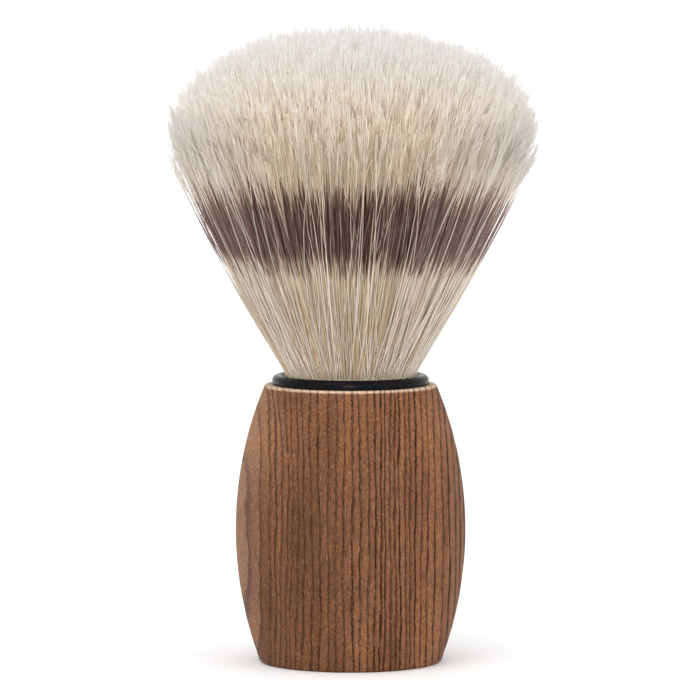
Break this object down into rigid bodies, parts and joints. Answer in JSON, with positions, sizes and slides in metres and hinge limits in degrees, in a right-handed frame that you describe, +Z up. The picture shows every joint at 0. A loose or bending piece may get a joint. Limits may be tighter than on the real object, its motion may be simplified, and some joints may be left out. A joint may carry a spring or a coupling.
{
  "type": "shaving brush",
  "caption": "Shaving brush with a barrel-shaped turned wooden handle, a black ferrule ring and a fan-shaped banded bristle knot that splays when pressed.",
  "frame": {"origin": "middle of the handle's flat base", "axes": "+Z up along the handle's axis towards the bristle tips; the brush is round about Z, and +X is only a reference bearing"},
  "size_m": [0.0612, 0.0612, 0.104],
  "materials": {
    "wood": "brushed open grain with an oiled sheen",
    "ferrule": "polished black",
    "adhesive": "cured glue",
    "resin": "cast clear amber",
    "thread": "waxed cotton thread",
    "bristle": "cream bristles with a dark brown dyed band and pale split tips"
  },
  "bodies": {
    "handle": {"handle": "wood", "socket_adhesive": "adhesive", "ferrule_collar": "ferrule", "bristle_roots": "bristle", "binding_thread": "thread", "resin_plug": "resin", "core_bristle_lock": "bristle"},
    "inner_lock_01": {"inner_bristle_lock_01": "bristle"},
    "inner_lock_02": {"inner_bristle_lock_02": "bristle"},
    "inner_lock_03": {"inner_bristle_lock_03": "bristle"},
    "inner_lock_04": {"inner_bristle_lock_04": "bristle"},
    "inner_lock_05": {"inner_bristle_lock_05": "bristle"},
    "inner_lock_06": {"inner_bristle_lock_06": "bristle"},
    "middle_lock_01": {"middle_bristle_lock_01": "bristle"},
    "middle_lock_02": {"middle_bristle_lock_02": "bristle"},
    "middle_lock_03": {"middle_bristle_lock_03": "bristle"},
    "middle_lock_04": {"middle_bristle_lock_04": "bristle"},
    "middle_lock_05": {"middle_bristle_lock_05": "bristle"},
    "middle_lock_06": {"middle_bristle_lock_06": "bristle"},
    "middle_lock_07": {"middle_bristle_lock_07": "bristle"},
    "middle_lock_08": {"middle_bristle_lock_08": "bristle"},
    "middle_lock_09": {"middle_bristle_lock_09": "bristle"},
    "middle_lock_10": {"middle_bristle_lock_10": "bristle"},
    "middle_lock_11": {"middle_bristle_lock_11": "bristle"},
    "middle_lock_12": {"middle_bristle_lock_12": "bristle"},
    "outer_lock_01": {"outer_bristle_lock_01": "bristle"},
    "outer_lock_02": {"outer_bristle_lock_02": "bristle"},
    "outer_lock_03": {"outer_bristle_lock_03": "bristle"},
    "outer_lock_04": {"outer_bristle_lock_04": "bristle"},
    "outer_lock_05": {"outer_bristle_lock_05": "bristle"},
    "outer_lock_06": {"outer_bristle_lock_06": "bristle"},
    "outer_lock_07": {"outer_bristle_lock_07": "bristle"},
    "outer_lock_08": {"outer_bristle_lock_08": "bristle"},
    "outer_lock_09": {"outer_bristle_lock_09": "bristle"},
    "outer_lock_10": {"outer_bristle_lock_10": "bristle"},
    "outer_lock_11": {"outer_bristle_lock_11": "bristle"},
    "outer_lock_12": {"outer_bristle_lock_12": "bristle"},
    "outer_lock_13": {"outer_bristle_lock_13": "bristle"},
    "outer_lock_14": {"outer_bristle_lock_14": "bristle"},
    "outer_lock_15": {"outer_bristle_lock_15": "bristle"},
    "outer_lock_16": {"outer_bristle_lock_16": "bristle"},
    "outer_lock_17": {"outer_bristle_lock_17": "bristle"},
    "outer_lock_18": {"outer_bristle_lock_18": "bristle"}
  },
  "joints": [
    {"name": "inner_lock_01_splay", "type": "hinge", "parent": "handle", "child": "inner_lock_01", "pos_m": [0.00461, 0.00266, 0.0476], "axis": [-0.5, 0.866, 0], "range_deg": [0, 6], "stiffness_Nm_per_rad": 0.03},
    {"name": "inner_lock_02_splay", "type": "hinge", "parent": "handle", "child": "inner_lock_02", "pos_m": [0, 0.00532, 0.0476], "axis": [-1, 0, 0], "range_deg": [0, 6], "stiffness_Nm_per_rad": 0.03},
    {"name": "inner_lock_03_splay", "type": "hinge", "parent": "handle", "child": "inner_lock_03", "pos_m": [-0.00461, 0.00266, 0.0476], "axis": [-0.5, -0.866, 0], "range_deg": [0, 6], "stiffness_Nm_per_rad": 0.03},
    {"name": "inner_lock_04_splay", "type": "hinge", "parent": "handle", "child": "inner_lock_04", "pos_m": [-0.00461, -0.00266, 0.0476], "axis": [0.5, -0.866, 0], "range_deg": [0, 6], "stiffness_Nm_per_rad": 0.03},
    {"name": "inner_lock_05_splay", "type": "hinge", "parent": "handle", "child": "inner_lock_05", "pos_m": [0, -0.00532, 0.0476], "axis": [1, 0, 0], "range_deg": [0, 6], "stiffness_Nm_per_rad": 0.03},
    {"name": "inner_lock_06_splay", "type": "hinge", "parent": "handle", "child": "inner_lock_06", "pos_m": [0.00461, -0.00266, 0.0476], "axis": [0.5, 0.866, 0], "range_deg": [0, 6], "stiffness_Nm_per_rad": 0.03},
    {"name": "middle_lock_01_splay", "type": "hinge", "parent": "handle", "child": "middle_lock_01", "pos_m": [0.00779, 0.00209, 0.0476], "axis": [-0.2588, 0.9659, 0], "range_deg": [0, 12], "stiffness_Nm_per_rad": 0.02},
    {"name": "middle_lock_02_splay", "type": "hinge", "parent": "handle", "child": "middle_lock_02", "pos_m": [0.0057, 0.0057, 0.0476], "axis": [-0.7071, 0.7071, 0], "range_deg": [0, 12], "stiffness_Nm_per_rad": 0.02},
    {"name": "middle_lock_03_splay", "type": "hinge", "parent": "handle", "child": "middle_lock_03", "pos_m": [0.00209, 0.00779, 0.0476], "axis": [-0.9659, 0.2588, 0], "range_deg": [0, 12], "stiffness_Nm_per_rad": 0.02},
    {"name": "middle_lock_04_splay", "type": "hinge", "parent": "handle", "child": "middle_lock_04", "pos_m": [-0.00209, 0.00779, 0.0476], "axis": [-0.9659, -0.2588, 0], "range_deg": [0, 12], "stiffness_Nm_per_rad": 0.02},
    {"name": "middle_lock_05_splay", "type": "hinge", "parent": "handle", "child": "middle_lock_05", "pos_m": [-0.0057, 0.0057, 0.0476], "axis": [-0.7071, -0.7071, 0], "range_deg": [0, 12], "stiffness_Nm_per_rad": 0.02},
    {"name": "middle_lock_06_splay", "type": "hinge", "parent": "handle", "child": "middle_lock_06", "pos_m": [-0.00779, 0.00209, 0.0476], "axis": [-0.2588, -0.9659, 0], "range_deg": [0, 12], "stiffness_Nm_per_rad": 0.02},
    {"name": "middle_lock_07_splay", "type": "hinge", "parent": "handle", "child": "middle_lock_07", "pos_m": [-0.00779, -0.00209, 0.0476], "axis": [0.2588, -0.9659, 0], "range_deg": [0, 12], "stiffness_Nm_per_rad": 0.02},
    {"name": "middle_lock_08_splay", "type": "hinge", "parent": "handle", "child": "middle_lock_08", "pos_m": [-0.0057, -0.0057, 0.0476], "axis": [0.7071, -0.7071, 0], "range_deg": [0, 12], "stiffness_Nm_per_rad": 0.02},
    {"name": "middle_lock_09_splay", "type": "hinge", "parent": "handle", "child": "middle_lock_09", "pos_m": [-0.00209, -0.00779, 0.0476], "axis": [0.9659, -0.2588, 0], "range_deg": [0, 12], "stiffness_Nm_per_rad": 0.02},
    {"name": "middle_lock_10_splay", "type": "hinge", "parent": "handle", "child": "middle_lock_10", "pos_m": [0.00209, -0.00779, 0.0476], "axis": [0.9659, 0.2588, 0], "range_deg": [0, 12], "stiffness_Nm_per_rad": 0.02},
    {"name": "middle_lock_11_splay", "type": "hinge", "parent": "handle", "child": "middle_lock_11", "pos_m": [0.0057, -0.0057, 0.0476], "axis": [0.7071, 0.7071, 0], "range_deg": [0, 12], "stiffness_Nm_per_rad": 0.02},
    {"name": "middle_lock_12_splay", "type": "hinge", "parent": "handle", "child": "middle_lock_12", "pos_m": [0.00779, -0.00209, 0.0476], "axis": [0.2588, 0.9659, 0], "range_deg": [0, 12], "stiffness_Nm_per_rad": 0.02},
    {"name": "outer_lock_01_splay", "type": "hinge", "parent": "handle", "child": "outer_lock_01", "pos_m": [0.01078, 0.0019, 0.0476], "axis": [-0.1736, 0.9848, 0], "range_deg": [0, 18], "stiffness_Nm_per_rad": 0.02},
    {"name": "outer_lock_02_splay", "type": "hinge", "parent": "handle", "child": "outer_lock_02", "pos_m": [0.00948, 0.00547, 0.0476], "axis": [-0.5, 0.866, 0], "range_deg": [0, 18], "stiffness_Nm_per_rad": 0.02},
    {"name": "outer_lock_03_splay", "type": "hinge", "parent": "handle", "child": "outer_lock_03", "pos_m": [0.00704, 0.00839, 0.0476], "axis": [-0.766, 0.6428, 0], "range_deg": [0, 18], "stiffness_Nm_per_rad": 0.02},
    {"name": "outer_lock_04_splay", "type": "hinge", "parent": "handle", "child": "outer_lock_04", "pos_m": [0.00375, 0.01029, 0.0476], "axis": [-0.9397, 0.342, 0], "range_deg": [0, 18], "stiffness_Nm_per_rad": 0.02},
    {"name": "outer_lock_05_splay", "type": "hinge", "parent": "handle", "child": "outer_lock_05", "pos_m": [0, 0.01095, 0.0476], "axis": [-1, 0, 0], "range_deg": [0, 18], "stiffness_Nm_per_rad": 0.02},
    {"name": "outer_lock_06_splay", "type": "hinge", "parent": "handle", "child": "outer_lock_06", "pos_m": [-0.00375, 0.01029, 0.0476], "axis": [-0.9397, -0.342, 0], "range_deg": [0, 18], "stiffness_Nm_per_rad": 0.02},
    {"name": "outer_lock_07_splay", "type": "hinge", "parent": "handle", "child": "outer_lock_07", "pos_m": [-0.00704, 0.00839, 0.0476], "axis": [-0.766, -0.6428, 0], "range_deg": [0, 18], "stiffness_Nm_per_rad": 0.02},
    {"name": "outer_lock_08_splay", "type": "hinge", "parent": "handle", "child": "outer_lock_08", "pos_m": [-0.00948, 0.00547, 0.0476], "axis": [-0.5, -0.866, 0], "range_deg": [0, 18], "stiffness_Nm_per_rad": 0.02},
    {"name": "outer_lock_09_splay", "type": "hinge", "parent": "handle", "child": "outer_lock_09", "pos_m": [-0.01078, 0.0019, 0.0476], "axis": [-0.1736, -0.9848, 0], "range_deg": [0, 18], "stiffness_Nm_per_rad": 0.02},
    {"name": "outer_lock_10_splay", "type": "hinge", "parent": "handle", "child": "outer_lock_10", "pos_m": [-0.01078, -0.0019, 0.0476], "axis": [0.1736, -0.9848, 0], "range_deg": [0, 18], "stiffness_Nm_per_rad": 0.02},
    {"name": "outer_lock_11_splay", "type": "hinge", "parent": "handle", "child": "outer_lock_11", "pos_m": [-0.00948, -0.00547, 0.0476], "axis": [0.5, -0.866, 0], "range_deg": [0, 18], "stiffness_Nm_per_rad": 0.02},
    {"name": "outer_lock_12_splay", "type": "hinge", "parent": "handle", "child": "outer_lock_12", "pos_m": [-0.00704, -0.00839, 0.0476], "axis": [0.766, -0.6428, 0], "range_deg": [0, 18], "stiffness_Nm_per_rad": 0.02},
    {"name": "outer_lock_13_splay", "type": "hinge", "parent": "handle", "child": "outer_lock_13", "pos_m": [-0.00375, -0.01029, 0.0476], "axis": [0.9397, -0.342, 0], "range_deg": [0, 18], "stiffness_Nm_per_rad": 0.02},
    {"name": "outer_lock_14_splay", "type": "hinge", "parent": "handle", "child": "outer_lock_14", "pos_m": [0, -0.01095, 0.0476], "axis": [1, 0, 0], "range_deg": [0, 18], "stiffness_Nm_per_rad": 0.02},
    {"name": "outer_lock_15_splay", "type": "hinge", "parent": "handle", "child": "outer_lock_15", "pos_m": [0.00375, -0.01029, 0.0476], "axis": [0.9397, 0.342, 0], "range_deg": [0, 18], "stiffness_Nm_per_rad": 0.02},
    {"name": "outer_lock_16_splay", "type": "hinge", "parent": "handle", "child": "outer_lock_16", "pos_m": [0.00704, -0.00839, 0.0476], "axis": [0.766, 0.6428, 0], "range_deg": [0, 18], "stiffness_Nm_per_rad": 0.02},
    {"name": "outer_lock_17_splay", "type": "hinge", "parent": "handle", "child": "outer_lock_17", "pos_m": [0.00948, -0.00547, 0.0476], "axis": [0.5, 0.866, 0], "range_deg": [0, 18], "stiffness_Nm_per_rad": 0.02},
    {"name": "outer_lock_18_splay", "type": "hinge", "parent": "handle", "child": "outer_lock_18", "pos_m": [0.01078, -0.0019, 0.0476], "axis": [0.1736, 0.9848, 0], "range_deg": [0, 18], "stiffness_Nm_per_rad": 0.02}
  ],
  "couplings": [
    {"joint": "inner_lock_01_splay", "follows": "outer_lock_01_splay", "ratio": 0.33333},
    {"joint": "inner_lock_02_splay", "follows": "outer_lock_01_splay", "ratio": 0.33333},
    {"joint": "inner_lock_03_splay", "follows": "outer_lock_01_splay", "ratio": 0.33333},
    {"joint": "inner_lock_04_splay", "follows": "outer_lock_01_splay", "ratio": 0.33333},
    {"joint": "inner_lock_05_splay", "follows": "outer_lock_01_splay", "ratio": 0.33333},
    {"joint": "inner_lock_06_splay", "follows": "outer_lock_01_splay", "ratio": 0.33333},
    {"joint": "middle_lock_01_splay", "follows": "outer_lock_01_splay", "ratio": 0.66667},
    {"joint": "middle_lock_02_splay", "follows": "outer_lock_01_splay", "ratio": 0.66667},
    {"joint": "middle_lock_03_splay", "follows": "outer_lock_01_splay", "ratio": 0.66667},
    {"joint": "middle_lock_04_splay", "follows": "outer_lock_01_splay", "ratio": 0.66667},
    {"joint": "middle_lock_05_splay", "follows": "outer_lock_01_splay", "ratio": 0.66667},
    {"joint": "middle_lock_06_splay", "follows": "outer_lock_01_splay", "ratio": 0.66667},
    {"joint": "middle_lock_07_splay", "follows": "outer_lock_01_splay", "ratio": 0.66667},
    {"joint": "middle_lock_08_splay", "follows": "outer_lock_01_splay", "ratio": 0.66667},
    {"joint": "middle_lock_09_splay", "follows": "outer_lock_01_splay", "ratio": 0.66667},
    {"joint": "middle_lock_10_splay", "follows": "outer_lock_01_splay", "ratio": 0.66667},
    {"joint": "middle_lock_11_splay", "follows": "outer_lock_01_splay", "ratio": 0.66667},
    {"joint": "middle_lock_12_splay", "follows": "outer_lock_01_splay", "ratio": 0.66667},
    {"joint": "outer_lock_02_splay", "follows": "outer_lock_01_splay", "ratio": 1},
    {"joint": "outer_lock_03_splay", "follows": "outer_lock_01_splay", "ratio": 1},
    {"joint": "outer_lock_04_splay", "follows": "outer_lock_01_splay", "ratio": 1},
    {"joint": "outer_lock_05_splay", "follows": "outer_lock_01_splay", "ratio": 1},
    {"joint": "outer_lock_06_splay", "follows": "outer_lock_01_splay", "ratio": 1},
    {"joint": "outer_lock_07_splay", "follows": "outer_lock_01_splay", "ratio": 1},
    {"joint": "outer_lock_08_splay", "follows": "outer_lock_01_splay", "ratio": 1},
    {"joint": "outer_lock_09_splay", "follows": "outer_lock_01_splay", "ratio": 1},
    {"joint": "outer_lock_10_splay", "follows": "outer_lock_01_splay", "ratio": 1},
    {"joint": "outer_lock_11_splay", "follows": "outer_lock_01_splay", "ratio": 1},
    {"joint": "outer_lock_12_splay", "follows": "outer_lock_01_splay", "ratio": 1},
    {"joint": "outer_lock_13_splay", "follows": "outer_lock_01_splay", "ratio": 1},
    {"joint": "outer_lock_14_splay", "follows": "outer_lock_01_splay", "ratio": 1},
    {"joint": "outer_lock_15_splay", "follows": "outer_lock_01_splay", "ratio": 1},
    {"joint": "outer_lock_16_splay", "follows": "outer_lock_01_splay", "ratio": 1},
    {"joint": "outer_lock_17_splay", "follows": "outer_lock_01_splay", "ratio": 1},
    {"joint": "outer_lock_18_splay", "follows": "outer_lock_01_splay", "ratio": 1}
  ]
}
